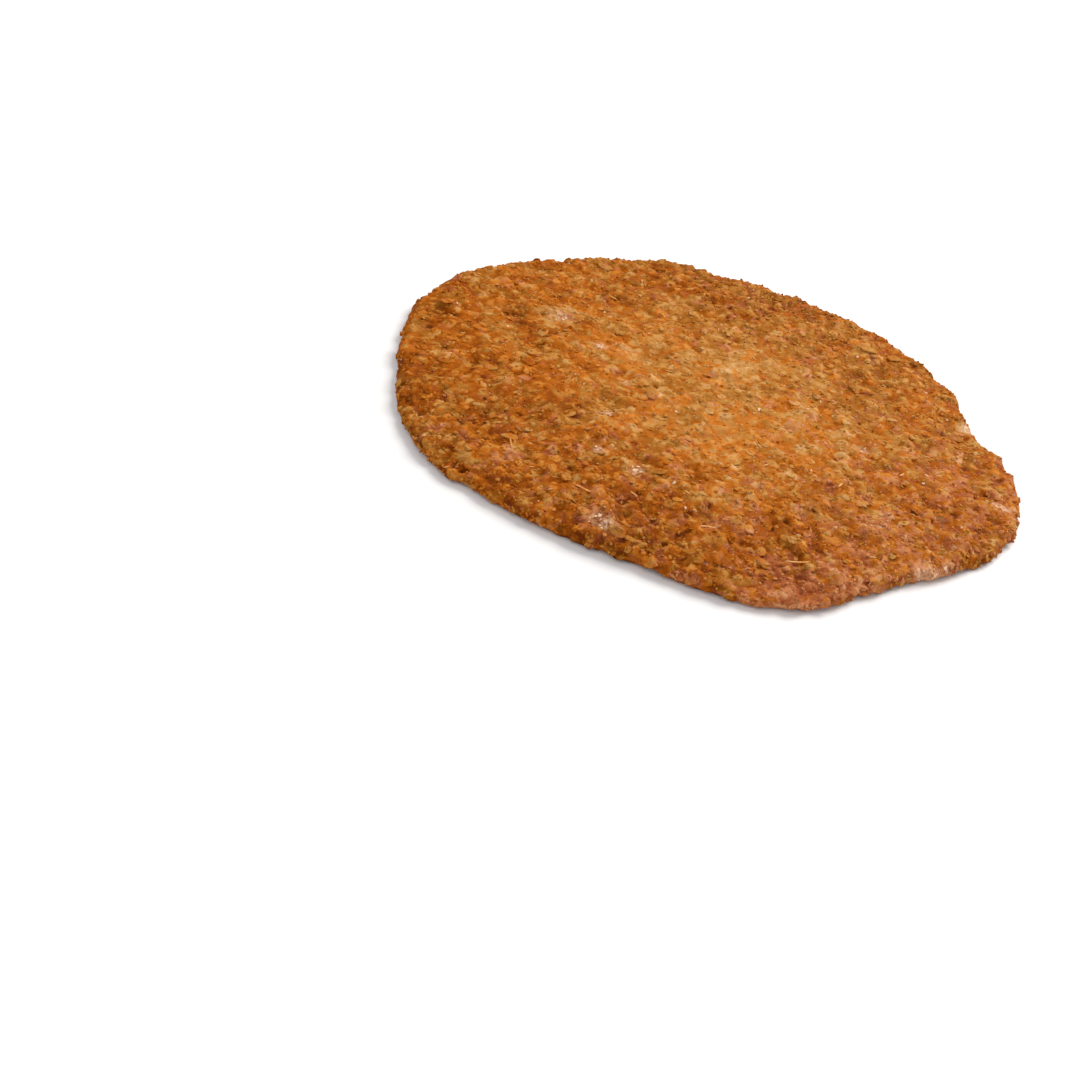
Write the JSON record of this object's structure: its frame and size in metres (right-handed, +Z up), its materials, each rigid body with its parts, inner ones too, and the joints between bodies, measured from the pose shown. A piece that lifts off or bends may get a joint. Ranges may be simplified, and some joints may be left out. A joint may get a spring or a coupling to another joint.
{
  "type": "oatmeal cookie",
  "caption": "Large thin round oatmeal cookie with an uneven crumbly edge, a craggy top of baked oat flakes and a flat underside.",
  "frame": {"origin": "under the middle of the cookie's box, in the plane of its flat underside", "axes": "+Z up through the thickness; +X to the right and +Y away from a viewer at the near edge, as the picture shows it"},
  "size_m": [0.1399, 0.1419, 0.0058],
  "materials": {
    "baked_oat_crust": "rough baked crust, golden brown in the middle and reddish brown at the edge"
  },
  "bodies": {
    "root": {"oatmeal_cookie": "baked_oat_crust"}
  },
  "joints": []
}
